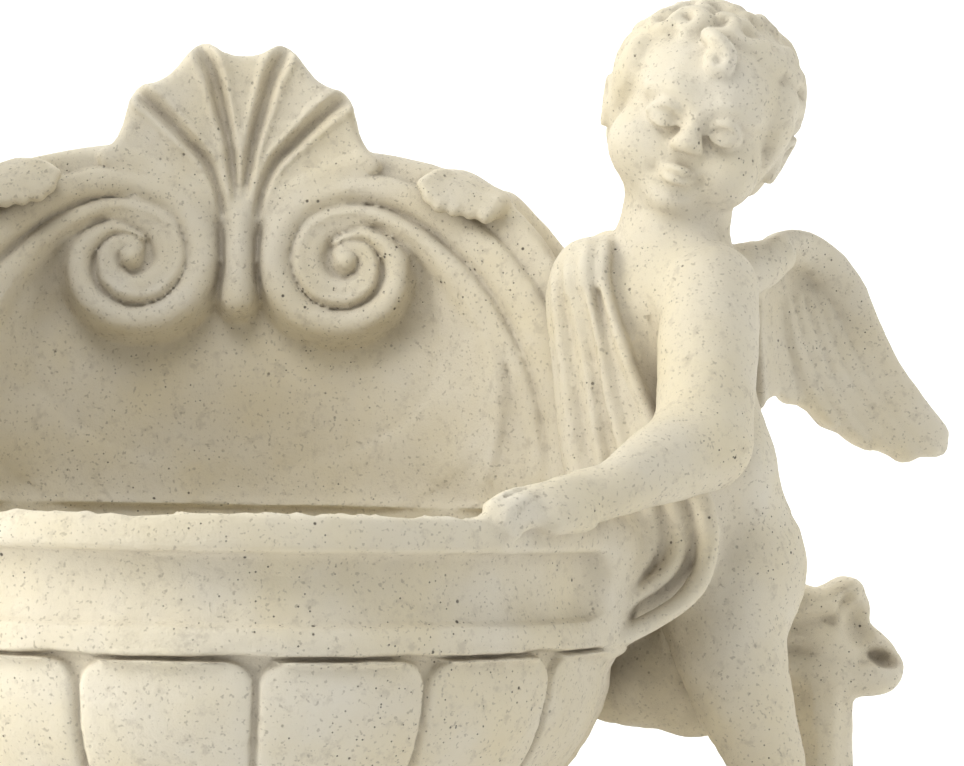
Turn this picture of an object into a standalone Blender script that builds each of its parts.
"""Garden planter of cast stone: a fluted basin in front of a scalloped back, held by two cherubs.

The whole planter is one casting. Its overlapping masses are built from primitives, tapered tubes,
a turned profile and cut outlines, fused into one skin, hollowed and given a flat underside.
The cherub is modelled once, on the +X side, and mirrored. +Z is up and -Y is the front.
"""

import math

import bmesh
import bpy
from mathutils import Euler, Matrix, Vector

# Plinth
PLINTH_LENGTH = 0.690
PLINTH_DEPTH = 0.300
PLINTH_HEIGHT = 0.028
PLINTH_CORNER = 0.080
PLINTH_EDGE = 0.005
ROCK_HEIGHT = 0.042

# Basin
RIM_HEIGHT = 0.262
RIM_RADIUS = 0.196
REAR_DEPTH = 0.098
BASIN_WALL = 0.017
BASIN_FLOOR = 0.020
LIP_HEIGHT = 0.017
LIP_REACH = 0.008
BEAD_DROP = 0.055
BEAD_RADIUS = 0.005
BOWL_RADIUS = 0.187
BOWL_DROP = 0.072
BOWL_DEPTH = 0.110
FLUTE_COUNT = 15
FLUTE_WIDTH = 0.014
FLUTE_DEPTH = 0.0040
SOCLE_RADIUS = 0.060
SOCLE_NECK = 0.048
SOCLE_FOOT = 0.074

# Back
BACK_HALF_WIDTH = 0.184
BACK_RISE = 0.192
BACK_SQUARENESS = 3.2
BACK_THICKNESS = 0.026
SHELL_RISE = 0.245
SHELL_HALF_WIDTH = 0.074
SHELL_PROUD = 0.005
VOLUTE_HALF_SPACING = 0.056
VOLUTE_RISE = 0.130
VOLUTE_RADIUS = 0.044
SCROLL_RADIUS = 0.0070
NICHE_HALF_WIDTH = 0.116
NICHE_HALF_HEIGHT = 0.048
NICHE_DEPTH = 0.010

# Cherub: pose points are in thousandths of its height, from the point on the plinth's top under its hips
CHERUB_HEIGHT = 0.493
CHERUB_STANCE = 0.054
HEAD_TURN = (12.0, 18.5, -8.0)
CHEST_TURN = (0.0, -12.0, -38.0)
HIP_TURN = (0.0, -4.0, -50.0)
STUMP_RADIUS = 0.017

# Making
VOXEL = 0.0028
SMOOTH_STEPS = 4
TRIANGLE_SHARE = 0.0165
SEAM = 0.0001

STONE = (0.72, 0.66, 0.52, 1.0)
STAND_X = RIM_RADIUS + CHERUB_STANCE
UNIT = CHERUB_HEIGHT / 1000.0


def clear_scene():
    for old in list(bpy.data.objects):
        bpy.data.objects.remove(old)


def collection_named(name):
    made = bpy.data.collections.new(name)
    bpy.context.scene.collection.children.link(made)
    return made


def pose(x, y, z):
    """A point of the cherub's pose, in metres."""
    return Vector((STAND_X + x * UNIT, y * UNIT, PLINTH_HEIGHT + z * UNIT))


def turned(degrees):
    return Euler([math.radians(d) for d in degrees], "XYZ").to_matrix()


def smooth_path(stations, steps=5):
    """Points and radii on a Catmull-Rom curve through (point, radius) stations."""
    keys = [Vector((*point, radius)) for point, radius in stations]
    keys = [2 * keys[0] - keys[1], *keys, 2 * keys[-1] - keys[-2]]
    path = []
    for a, b, c, d in zip(keys, keys[1:], keys[2:], keys[3:]):
        for i in range(steps):
            t = i / steps
            path.append(
                0.5 * (2 * b + (c - a) * t + (2 * a - 5 * b + 4 * c - d) * t**2
                       + (3 * b - a - 3 * c + d) * t**3)
            )
    path.append(keys[-2])
    return [(p.to_3d(), max(p[3], 0.001)) for p in path]


def unit_ball():
    shape = bmesh.new()
    bmesh.ops.create_uvsphere(shape, u_segments=20, v_segments=12, radius=1.0)
    mesh = bpy.data.meshes.new("ball")
    shape.to_mesh(mesh)
    shape.free()
    return mesh


class Clay:
    """Closed overlapping shapes gathered in one mesh until they are fused."""

    def __init__(self):
        self.mesh = bmesh.new()
        self.unit_ball = unit_ball()
        self.tubes = bpy.data.curves.new("tubes", "CURVE")
        self.tubes.dimensions = "3D"
        self.tubes.bevel_depth = 1.0
        self.tubes.bevel_resolution = 3
        self.tubes.use_fill_caps = True

    def ball(self, centre, radii, turn=Matrix.Identity(3)):
        size = Vector((radii,) * 3) if isinstance(radii, float) else Vector(radii)
        placed = self.unit_ball.copy()
        placed.transform(Matrix.Translation(centre) @ turn.to_4x4() @ Matrix.Diagonal((*size, 1.0)))
        self.add(placed)

    def limb(self, *stations):
        """A tapered tube with round ends through (point, radius) stations."""
        path = smooth_path(stations)
        spline = self.tubes.splines.new("POLY")
        spline.points.add(len(path) - 1)
        for key, (point, radius) in zip(spline.points, path):
            key.co = (*point, 1.0)
            key.radius = radius
        for point, radius in (path[0], path[-1]):
            self.ball(point, radius)

    def add(self, mesh):
        self.mesh.from_mesh(mesh)

    def gather_tubes(self):
        """Moves the tubes drawn so far into the mesh."""
        self.add(mesh_of(bpy.data.objects.new("tubes", self.tubes)))
        self.tubes.splines.clear()


def mesh_of(obj):
    """The mesh of an object with its modifiers applied; the object is removed."""
    scene = bpy.context.scene.collection
    scene.objects.link(obj)
    graph = bpy.context.evaluated_depsgraph_get()
    mesh = bpy.data.meshes.new_from_object(obj.evaluated_get(graph))
    mesh.transform(obj.matrix_world)
    bpy.data.objects.remove(obj)
    shape = bmesh.new()
    shape.from_mesh(mesh)
    bmesh.ops.remove_doubles(shape, verts=shape.verts, dist=1e-6)
    shape.to_mesh(mesh)
    shape.free()
    return mesh


def turned_profile(points, steps):
    """A profile of (radius, height) points, top to bottom, turned about Z."""
    curve = bmesh.new()
    corners = [curve.verts.new((radius, 0.0, height)) for radius, height in points]
    for a, b in zip(corners, corners[1:]):
        curve.edges.new((a, b))
    mesh = bpy.data.meshes.new("profile")
    curve.to_mesh(mesh)
    curve.free()
    obj = bpy.data.objects.new("profile", mesh)
    screw = obj.modifiers.new("Screw", "SCREW")
    screw.steps = steps
    screw.render_steps = steps
    screw.use_merge_vertices = True
    screw.merge_threshold = SEAM
    return mesh_of(obj)


def flatten_rear(mesh):
    """Draws the rear half of a round plan in to the basin's rear depth."""
    for vertex in mesh.vertices:
        if vertex.co.y > 0.0:
            vertex.co.y *= REAR_DEPTH / RIM_RADIUS


def rear_face(x):
    """How far back the outer rear face of the back stands at x."""
    return REAR_DEPTH * math.sqrt(max(0.0, 1.0 - (x / RIM_RADIUS) ** 2))


def slab(name, outline, thickness):
    """A flat upright slab with the outline's (x, z) points, in small enough faces to be bent."""
    curve = bpy.data.curves.new(name, "CURVE")
    curve.dimensions = "2D"
    curve.fill_mode = "BOTH"
    curve.extrude = thickness / 2
    spline = curve.splines.new("POLY")
    spline.points.add(len(outline) - 1)
    for key, (x, z) in zip(spline.points, outline):
        key.co = (x, z, 0.0, 1.0)
    spline.use_cyclic_u = True
    obj = bpy.data.objects.new(name, curve)
    obj.rotation_euler.x = math.pi / 2
    dense = bpy.data.objects.new(name, mesh_of(obj))
    remesh = dense.modifiers.new("Remesh", "REMESH")
    remesh.mode = "VOXEL"
    remesh.voxel_size = VOXEL
    return mesh_of(dense)


def bent_to_rear(mesh):
    """A slab with its middle plane carried to the middle of the back and its front face dished."""
    for vertex in mesh.vertices:
        if vertex.co.y < 0.0:
            across = vertex.co.x / NICHE_HALF_WIDTH
            up = (vertex.co.z - RIM_HEIGHT) / NICHE_HALF_HEIGHT - 0.8
            vertex.co.y += NICHE_DEPTH * max(0.0, 1.0 - across**2 - up**2)
        vertex.co.y += rear_face(vertex.co.x) - BACK_THICKNESS / 2
    return mesh


def back_outline():
    """The back's rounded top, both halves, down to below the rim."""
    low = RIM_HEIGHT - LIP_HEIGHT - BEAD_DROP
    arch = []
    for i in range(49):
        angle = math.pi * i / 48
        c, s = math.cos(angle), math.sin(angle)
        power = 2.0 / BACK_SQUARENESS
        x = BACK_HALF_WIDTH * math.copysign(abs(c) ** power, c)
        arch.append((x, RIM_HEIGHT + BACK_RISE * abs(s) ** power))
    return [(BACK_HALF_WIDTH, low), *arch, (-BACK_HALF_WIDTH, low)]


def shell_outline():
    """The scallop: a tip where each groove ends and a shallow hollow between neighbours."""
    half = (
        (0.00, 0.985), (0.20, 0.997), (0.27, 1.00), (0.33, 0.985), (0.50, 0.935), (0.70, 0.905),
        (0.76, 0.89), (0.80, 0.855), (0.86, 0.80), (0.97, 0.76), (1.00, 0.745), (0.98, 0.72),
    )
    right = [(x * SHELL_HALF_WIDTH, RIM_HEIGHT + rise * SHELL_RISE) for x, rise in half]
    left = [(-x, z) for x, z in right[:0:-1]]
    return [(0.0, RIM_HEIGHT + 0.45 * SHELL_RISE), *left, *right][::-1]


def on_back(x, rise, proud=0.0):
    """A point on the back's front face, that far above the rim, standing proud by that much."""
    return Vector((x, rear_face(x) - BACK_THICKNESS - proud, RIM_HEIGHT + rise))


def volute(angle, share):
    """A point of the scroll's spiral, at an angle in degrees and a share of the radius about its eye."""
    a = math.radians(angle)
    radius = VOLUTE_RADIUS * share
    return VOLUTE_HALF_SPACING + radius * math.cos(a), VOLUTE_RISE + radius * math.sin(a)


def back_share(angle, share):
    """A point inside the back's outline, at that share of the way out from the rim's middle."""
    a = math.radians(angle)
    power = 2.0 / BACK_SQUARENESS
    return (
        share * BACK_HALF_WIDTH * abs(math.cos(a)) ** power,
        share * BACK_RISE * abs(math.sin(a)) ** power,
    )


def scrolls(clay):
    """The right scroll's two bands, which rise from the rim, pass over the top and curl to an eye."""
    outer_sweep = ((6, 0.90), (16, 0.89), (28, 0.87), (40, 0.84), (52, 0.83))
    outer_curl = (
        (72, 0.90), (100, 0.86), (140, 0.86), (180, 0.85), (225, 0.80), (270, 0.75), (315, 0.67),
        (0, 0.58), (40, 0.42), (75, 0.32),
    )
    inner_sweep = ((8, 0.74), (19, 0.74), (31, 0.73), (43, 0.72))
    inner_curl = (
        (60, 0.68), (90, 0.62), (130, 0.57), (180, 0.52), (225, 0.48), (270, 0.46), (315, 0.38), (0, 0.27),
    )
    bands = ((outer_sweep, outer_curl, SCROLL_RADIUS), (inner_sweep, inner_curl, SCROLL_RADIUS * 0.8))
    for sweep, curl, radius in bands:
        path = [back_share(*turn) for turn in sweep] + [volute(*turn) for turn in curl]
        stations = []
        for i, (x, rise) in enumerate(path):
            taper = 1.0 - 0.45 * (i / (len(path) - 1)) ** 3
            stations.append((on_back(x, rise, 0.001), radius * taper))
        clay.limb(*stations)
    clay.ball(on_back(*volute(0, 0.0), 0.002), VOLUTE_RADIUS * 0.20)


def shell(clay):
    """The shell's rounded leaves, with a groove left between neighbours, and the stem under them."""
    leaves = (
        ((0.00, 0.68, 0.003), (0.00, 0.78, 0.006), (0.00, 0.88, 0.011), (0.00, 0.95, 0.015)),
        ((0.07, 0.66, 0.003), (0.16, 0.75, 0.006), (0.33, 0.85, 0.010), (0.48, 0.90, 0.013)),
        ((0.12, 0.61, 0.003), (0.28, 0.69, 0.006), (0.52, 0.76, 0.010), (0.76, 0.80, 0.013)),
    )
    for leaf in leaves:
        clay.limb(
            *[
                (on_back(x * SHELL_HALF_WIDTH, rise * SHELL_RISE, SHELL_PROUD - radius), radius)
                for x, rise, radius in leaf
            ]
        )
    stem = ((0.43, 0.0085), (0.50, 0.0078), (0.58, 0.0070), (0.68, 0.0058))
    clay.limb(*[(on_back(0.0, rise * SHELL_RISE), radius) for rise, radius in stem])


def basin_profile():
    """The outside of the basin and its socle, (radius, height) from the rim's top down."""
    lip_low = RIM_HEIGHT - LIP_HEIGHT
    fascia = RIM_RADIUS - LIP_REACH
    bead = RIM_HEIGHT - BEAD_DROP
    bowl_top = RIM_HEIGHT - BOWL_DROP
    points = [
        (0.0, RIM_HEIGHT),
        (RIM_RADIUS - 0.004, RIM_HEIGHT),
        (RIM_RADIUS, RIM_HEIGHT - 0.004),
        (RIM_RADIUS, lip_low + 0.003),
        (fascia, lip_low),
        (fascia - 0.003, (lip_low + bead) / 2),
        (fascia - 0.001, bead + BEAD_RADIUS),
        (fascia + BEAD_RADIUS * 0.7, bead),
        (fascia - 0.001, bead - BEAD_RADIUS),
    ]
    steps = 9
    full = math.asin(math.sqrt(1.0 - (SOCLE_RADIUS / BOWL_RADIUS) ** 2))
    for i in range(steps + 1):
        a = full * i / steps
        points.append((BOWL_RADIUS * math.cos(a), bowl_top - BOWL_DEPTH * math.sin(a)))
    low = bowl_top - BOWL_DEPTH * math.sin(full)
    drop = low - PLINTH_HEIGHT
    points += [
        (SOCLE_NECK, low - 0.25 * drop),
        (SOCLE_NECK, low - 0.45 * drop),
        (SOCLE_FOOT, low - 0.70 * drop),
        (SOCLE_FOOT, PLINTH_HEIGHT / 2),
        (0.0, PLINTH_HEIGHT / 2),
    ]
    return points


def basin():
    """The basin as a solid, with grooves between the lobes of its bowl."""
    mesh = turned_profile(basin_profile(), 288)
    bowl_top = RIM_HEIGHT - BOWL_DROP
    half_angle = FLUTE_WIDTH / 2 / BOWL_RADIUS
    lobe = 2 * math.pi / FLUTE_COUNT
    for vertex in mesh.vertices:
        radius = math.hypot(vertex.co.x, vertex.co.y)
        below = bowl_top - vertex.co.z
        if radius > SOCLE_RADIUS and below > 0.0:
            angle = math.atan2(vertex.co.x, -vertex.co.y)
            off = abs((angle + lobe / 2) % lobe - lobe / 2)
            cut = FLUTE_DEPTH * max(0.0, 1.0 - off / half_angle)
            vertex.co.x *= 1.0 - cut / radius
            vertex.co.y *= 1.0 - cut / radius
    flatten_rear(mesh)
    return mesh


def plinth():
    """The low slab that everything stands on, deeper than it should be until the underside is cut."""
    shape = bmesh.new()
    bmesh.ops.create_cube(shape, size=1.0)
    high = PLINTH_HEIGHT * 2
    bmesh.ops.scale(shape, vec=(PLINTH_LENGTH, PLINTH_DEPTH, high), verts=shape.verts)
    upright = [e for e in shape.edges if abs(e.verts[0].co.z - e.verts[1].co.z) > high / 2]
    bmesh.ops.bevel(shape, geom=upright, offset=PLINTH_CORNER, segments=8, profile=0.5, affect="EDGES")
    top = [e for e in shape.edges if min(v.co.z for v in e.verts) > high / 2 - 1e-4]
    bmesh.ops.bevel(shape, geom=top, offset=PLINTH_EDGE, segments=2, profile=0.5, affect="EDGES")
    mesh = bpy.data.meshes.new("plinth")
    shape.to_mesh(mesh)
    shape.free()
    return mesh


def trunk_and_hips(clay):
    """Torso, from the neck down to the hips."""
    chest, hips = turned(CHEST_TURN), turned(HIP_TURN)
    clay.ball(pose(-66, 12, 668), (0.049, 0.038, 0.052), chest)
    clay.ball(pose(-60, 12, 600), (0.041, 0.038, 0.045), chest)
    clay.ball(pose(-40, -4, 520), (0.044, 0.042, 0.046), hips)
    clay.ball(pose(-4, 4, 425), (0.042, 0.041, 0.047), hips)
    clay.ball(pose(22, 26, 415), 0.0275)
    clay.ball(pose(-22, 66, 415), 0.0290)
    clay.limb((pose(-80, 10, 700), 0.026), (pose(-66, 2, 745), 0.0225), (pose(-58, -2, 790), 0.023))
    clay.limb((pose(-106, 40, 620), 0.022), (pose(-112, 34, 480), 0.022), (pose(-110, 50, 380), 0.020))
    clay.limb((pose(-110, 80, 725), 0.020), (pose(-66, 14, 738), 0.019), (pose(-30, -55, 705), 0.020))


def standing_leg(clay):
    clay.limb(
        (pose(-6, -16, 385), 0.0300),
        (pose(-8, -26, 352), 0.0275),
        (pose(6, -42, 290), 0.0225),
        (pose(32, -54, 226), 0.0163),
        (pose(44, -57, 190), 0.0158),
        (pose(50, -40, 130), 0.0158),
        (pose(46, -24, 72), 0.0112),
        (pose(44, -18, 34), 0.0098),
    )
    foot(clay, pose(46, 0, 18), pose(8, -90, 14))


def bent_leg(clay):
    clay.limb(
        (pose(-22, 48, 330), 0.0300),
        (pose(-70, 74, 305), 0.0270),
        (pose(-128, 106, 306), 0.0220),
        (pose(-172, 132, 318), 0.0185),
    )
    clay.limb(
        (pose(-172, 132, 318), 0.0180),
        (pose(-188, 138, 250), 0.0165),
        (pose(-186, 150, 190), 0.0150),
        (pose(-182, 150, 122), 0.0100),
    )
    foot(clay, pose(-180, 162, 104), pose(-226, 92, 98))


def foot(clay, heel, toes):
    """A chubby foot from heel to toes, flat enough to stand on."""
    clay.limb((heel, 0.0100), (heel.lerp(toes, 0.5), 0.0110), (toes, 0.0088))
    side = (toes - heel).cross(Vector((0.0, 0.0, 1.0))).normalized() * 0.008
    clay.limb((heel.lerp(toes, 0.4) + side, 0.0080), (toes + side, 0.0066))
    clay.limb((heel.lerp(toes, 0.4) - side, 0.0080), (toes - side, 0.0066))


def rim_point(angle, lift):
    """A point above the rim's middle, at an angle in degrees from +X towards the front."""
    a = math.radians(angle)
    radius = RIM_RADIUS - BASIN_WALL * 0.35
    return Vector((radius * math.cos(a), -radius * math.sin(a), RIM_HEIGHT + lift))


def near_arm(clay):
    """The left arm, laid along the basin's rim."""
    clay.limb(
        (pose(-34, -66, 695), 0.0240),
        (pose(-42, -98, 645), 0.0248),
        (pose(-50, -130, 580), 0.0250),
        (pose(-54, -148, 548), 0.0240),
    )
    clay.limb(
        (pose(-54, -148, 546), 0.0235),
        (pose(-112, -196, 520), 0.0165),
        (pose(-156, -234, 500), 0.0125),
        (rim_point(39.0, 0.0075), 0.0108),
    )
    clay.ball(rim_point(43.5, 0.0060), (0.0160, 0.0130, 0.0090), turned((0, 0, 40)))
    knuckles = math.radians(48)
    outward = Vector((math.cos(knuckles), -math.sin(knuckles), 0.0))
    for spread, reach in ((-0.010, 52.0), (-0.003, 54.0), (0.004, 54.5), (0.011, 52.5)):
        root, middle, tip = rim_point(44.0, 0.007), rim_point(49.0, 0.0045), rim_point(reach, 0.0010)
        out = outward * spread
        clay.limb((root + out * 0.8, 0.0052), (middle + out, 0.0046), (tip + out, 0.0040))


def far_arm(clay):
    """The right arm, round behind the back with the hand over its shoulder."""
    hand = Vector((*back_share(53, 1.0), 0.0))
    grip = Vector((hand.x, rear_face(hand.x) - BACK_THICKNESS / 2, RIM_HEIGHT + hand.y))
    wrist = grip + Vector((0.022, 0.012, -0.008))
    clay.limb(
        (pose(-112, 86, 730), 0.0215),
        (pose(-140, 140, 700), 0.0185),
        (pose(-160, 160, 715), 0.0170),
        (wrist + Vector((0.016, 0.006, -0.020)), 0.0140),
        (wrist, 0.0115),
    )
    clay.ball(grip + Vector((0.006, -0.003, 0.001)), (0.0160, 0.0140, 0.0090), turned((0, 30, 0)))
    for i in range(4):
        root = grip + Vector((0.008 - 0.004 * i, -0.006, 0.005 - 0.005 * i + 0.004))
        tip = root + Vector((-0.024, -0.014, -0.004 - 0.001 * i))
        clay.limb((root, 0.0056), ((root + tip) / 2 + Vector((0, -0.004, 0.002)), 0.0054), (tip, 0.0042))


def head(clay):
    """Skull, cheeks, face and hair, in the head's own frame in metres."""
    turn = turned(HEAD_TURN)
    centre = pose(-38, -10, 889)

    def mass(x, y, z, radii):
        clay.ball(centre + turn @ Vector((x, y, z)), radii, turn)

    mass(0.000, 0.008, 0.006, (0.0430, 0.0480, 0.0420))
    mass(0.000, -0.014, -0.018, (0.0340, 0.0330, 0.0350))
    mass(0.000, -0.022, 0.012, (0.0330, 0.0240, 0.0240))
    for side in (-1, 1):
        mass(side * 0.0180, -0.0260, -0.0230, 0.0160)
        mass(side * 0.0420, 0.0020, -0.0080, (0.0050, 0.0090, 0.0120))
        mass(side * 0.0050, -0.0490, -0.0160, 0.0040)
    mass(0.000, -0.034, -0.0450, 0.0105)
    mass(0.000, -0.016, -0.0420, 0.0200)
    mass(0.000, -0.0500, -0.0140, (0.0050, 0.0065, 0.0060))
    mass(0.000, -0.0430, -0.0040, (0.0040, 0.0060, 0.0130))
    mass(0.000, -0.0445, -0.0300, (0.0095, 0.0050, 0.0040))
    mass(0.000, -0.0425, -0.0360, (0.0080, 0.0050, 0.0038))
    hair(mass)


def hair(mass):
    """Loose curls: a lock on the brow, a row round the face and two rows over the crown."""
    mass(0.000, -0.034, 0.034, (0.0110, 0.0090, 0.0110))
    rows = ((-12, 14, 0.0120, 200), (18, 11, 0.0125, 220), (50, 8, 0.0130, 300))
    for tilt, count, size, spread in rows:
        for i in range(count):
            angle = math.radians(90 + spread * ((i + 0.5) / count - 0.5))
            t = math.radians(tilt)
            around = Vector((math.cos(angle) * math.cos(t), math.sin(angle) * math.cos(t), math.sin(t)))
            wobble = 1.0 + 0.05 * math.sin(5.0 * i + tilt)
            mass(
                0.0410 * around.x * wobble,
                0.006 + 0.0470 * around.y * wobble,
                0.008 + 0.0430 * around.z * wobble,
                size,
            )


def wing(clay, root, turn):
    """A wing: a hollowed blade with a thick leading edge and long feathers, hung from its root."""
    edge = (
        (-24, -8), (0, 28), (28, 47), (65, 49), (101, 32), (128, 2), (146, -39), (170, -89),
        (199, -132), (219, -162), (215, -187), (187, -193), (154, -183), (114, -168), (69, -138),
        (28, -128), (6, -138), (-16, -150), (-26, -81),
    )

    def bulge(u):
        return 0.011 * math.sin(math.pi * min(1.0, max(0.0, u / (219 * UNIT))))

    corners = [((u * UNIT, v * UNIT, 0.0), 1.0) for u, v in (*edge, edge[0])]
    outline = [(point.x, point.y) for point, _ in smooth_path(corners, 3)]
    blade = slab("blade", outline[:-1], 0.010)
    for vertex in blade.vertices:
        vertex.co.y += bulge(vertex.co.x)
    place = Matrix.Translation(root) @ Matrix.Rotation(math.radians(turn), 4, "Z")
    blade.transform(place)
    clay.add(blade)

    def feather(points, radius):
        stations = []
        for u, v in points:
            local = Vector((u * UNIT, bulge(u * UNIT) - 0.003, v * UNIT))
            stations.append((place @ local, radius))
        clay.limb(*stations)

    lead = (
        (-12, 12), (28, 32), (65, 34), (97, 18), (118, -8),
        (134, -45), (158, -93), (187, -136), (205, -162),
    )
    feather(lead, 0.0075)
    for tip, fall in ((160, -172), (116, -154), (74, -122)):
        feather(((0.45 * tip + 16, -16), (0.65 * tip + 20, -89), (tip, fall)), 0.0045)


def wings(clay):
    """One wing spread to the side and one folded back, each on a root sunk in the shoulder blade."""
    clay.limb((pose(-20, 20, 715), 0.018), (pose(30, 46, 735), 0.015), (pose(60, 56, 748), 0.010))
    clay.limb((pose(-50, 40, 700), 0.018), (pose(-34, 90, 712), 0.014), (pose(-34, 120, 720), 0.010))
    wing(clay, pose(44, 52, 730), 14)
    wing(clay, pose(-30, 104, 712), 96)


def sash(clay):
    """The cloth from the far shoulder across the chest, round under the near forearm to the basin."""
    shoulder_folds = (
        ((-163, 751), (-172, 713), (-163, 662), (-153, 591), (-146, 535)),
        ((-150, 757), (-158, 711), (-150, 660), (-136, 590), (-120, 520)),
        ((-134, 760), (-139, 700), (-130, 650), (-112, 600), (-92, 560)),
    )
    for i, points in enumerate(shoulder_folds):
        clay.limb(*[(pose(x, -14 - 14 * i - 0.10 * (751 - z), z), 0.0070) for x, z in points])
    clay.limb((pose(-136, 16, 735), 0.014), (pose(-140, 16, 680), 0.015), (pose(-126, 8, 600), 0.018))
    clay.limb((pose(-96, -60, 500), 0.016), (pose(-100, -76, 445), 0.017), (pose(-116, -66, 395), 0.016))
    clay.limb((pose(-64, -70, 500), 0.018), (pose(-66, -78, 440), 0.018), (pose(-90, -72, 395), 0.015))
    hip_folds = (
        ((-56, 495), (-42, 472), (-38, 440), (-45, 409), (-64, 385), (-96, 368), (-126, 352)),
        ((-78, 485), (-68, 466), (-67, 443), (-78, 420), (-100, 400), (-126, 386)),
        ((-108, 470), (-103, 455), (-105, 438), (-118, 421), (-142, 406)),
    )
    for i, points in enumerate(hip_folds):
        clay.limb(*[(pose(x, -112 - 6 * i, z), 0.0070 - 0.0008 * i) for x, z in points])


def blown_cloth(clay):
    """The free end of the cloth, blown out behind the hip above the stump."""
    clay.limb((pose(24, 70, 350), 0.018), (pose(101, 91, 360), 0.018), (pose(142, 101, 386), 0.0125))
    clay.limb((pose(24, 70, 330), 0.018), (pose(111, 101, 325), 0.016), (pose(176, 105, 316), 0.0125))


def stump(clay):
    """The tree stump behind the leg, which carries the cloth and stiffens the casting."""
    top, low = pose(124, 100, 310), pose(128, 100, 0)
    clay.limb((top, STUMP_RADIUS), (top.lerp(low, 0.5), STUMP_RADIUS * 1.02), (low, STUMP_RADIUS * 1.35))
    for angle in (20, 110, 200, 290):
        a = math.radians(angle)
        out = Vector((math.cos(a), math.sin(a), 0.0)) * STUMP_RADIUS
        clay.limb((low.lerp(top, 0.35) + out * 0.8, 0.006), (low + out * 1.6, 0.009))


def rock(clay):
    """The rock under the raised foot."""
    clay.ball(pose(-196, 130, 0), (0.034, 0.040, ROCK_HEIGHT * 1.04))
    clay.ball(pose(-150, 160, 0), (0.026, 0.030, ROCK_HEIGHT * 0.60))


def casting():
    """Every mass of the planter's right half, with the middle pieces whole."""
    clay = Clay()
    trunk_and_hips(clay)
    standing_leg(clay)
    bent_leg(clay)
    sash(clay)
    near_arm(clay)
    far_arm(clay)
    head(clay)
    wings(clay)
    blown_cloth(clay)
    stump(clay)
    rock(clay)
    scrolls(clay)
    shell(clay)
    clay.gather_tubes()
    for mesh in (plinth(), basin()):
        clay.add(mesh)
    for outline in (back_outline(), shell_outline()):
        clay.add(bent_to_rear(slab("back", outline, BACK_THICKNESS)))
    mesh = bpy.data.meshes.new("cherub_planter")
    clay.mesh.to_mesh(mesh)
    clay.mesh.free()
    return mesh


def hollow_cutter(cutters):
    """The space inside the basin, open at the top."""
    inner = RIM_RADIUS - BASIN_WALL
    bowl_top = RIM_HEIGHT - BOWL_DROP
    deep = BOWL_DEPTH - BASIN_FLOOR
    above = RIM_HEIGHT + 0.003
    points = [(0.0, above), (inner, above), (inner, bowl_top + 0.01)]
    reach = BOWL_RADIUS - BASIN_WALL
    for i in range(10):
        a = math.radians(9.0 * i)
        points.append((reach * math.cos(a), bowl_top - deep * math.sin(a)))
    points.append((0.0, bowl_top - deep))
    mesh = turned_profile(points, 56)
    for vertex in mesh.vertices:
        if vertex.co.y > 0.0:
            reach = math.sqrt(max(inner**2 - vertex.co.x**2, 1e-8))
            rear = max(rear_face(vertex.co.x) - BACK_THICKNESS, 0.0)
            vertex.co.y *= min(1.0, rear / reach)
    return cutter("basin_hollow", mesh, cutters)


def ground_cutter(cutters):
    """Everything under the plinth's underside."""
    shape = bmesh.new()
    bmesh.ops.create_cube(shape, size=1.0)
    bmesh.ops.scale(shape, vec=(2.0, 2.0, 1.0), verts=shape.verts)
    bmesh.ops.translate(shape, vec=(0.0, 0.0, -0.5), verts=shape.verts)
    mesh = bpy.data.meshes.new("ground")
    shape.to_mesh(mesh)
    shape.free()
    return cutter("ground", mesh, cutters)


def cutter(name, mesh, cutters):
    obj = bpy.data.objects.new(name, mesh)
    obj.hide_render = True
    obj.display_type = "WIRE"
    cutters.objects.link(obj)
    return obj


def cut(obj, tool):
    boolean = obj.modifiers.new(tool.name, "BOOLEAN")
    boolean.operation = "DIFFERENCE"
    boolean.solver = "EXACT"
    boolean.object = tool


def stone():
    material = bpy.data.materials.new("cast_stone")
    material.use_nodes = True
    shader = material.node_tree.nodes["Principled BSDF"]
    shader.inputs["Base Color"].default_value = STONE
    shader.inputs["Roughness"].default_value = 0.85
    shader.inputs["Metallic"].default_value = 0.0
    return material


def main():
    clear_scene()
    parts = collection_named("cherub_planter")
    cutters = collection_named("cutters")
    planter = bpy.data.objects.new("cherub_planter", casting())
    planter.data.materials.append(stone())
    parts.objects.link(planter)
    mirror = planter.modifiers.new("Mirror", "MIRROR")
    mirror.use_mirror_merge = False
    mirror.merge_threshold = SEAM
    fuse = planter.modifiers.new("Fuse", "REMESH")
    fuse.mode = "VOXEL"
    fuse.voxel_size = VOXEL
    fuse.use_smooth_shade = True
    soften = planter.modifiers.new("Soften", "SMOOTH")
    soften.factor = 0.5
    soften.iterations = SMOOTH_STEPS
    thin = planter.modifiers.new("Thin", "DECIMATE")
    thin.ratio = TRIANGLE_SHARE
    cut(planter, hollow_cutter(cutters))
    cut(planter, ground_cutter(cutters))


main()
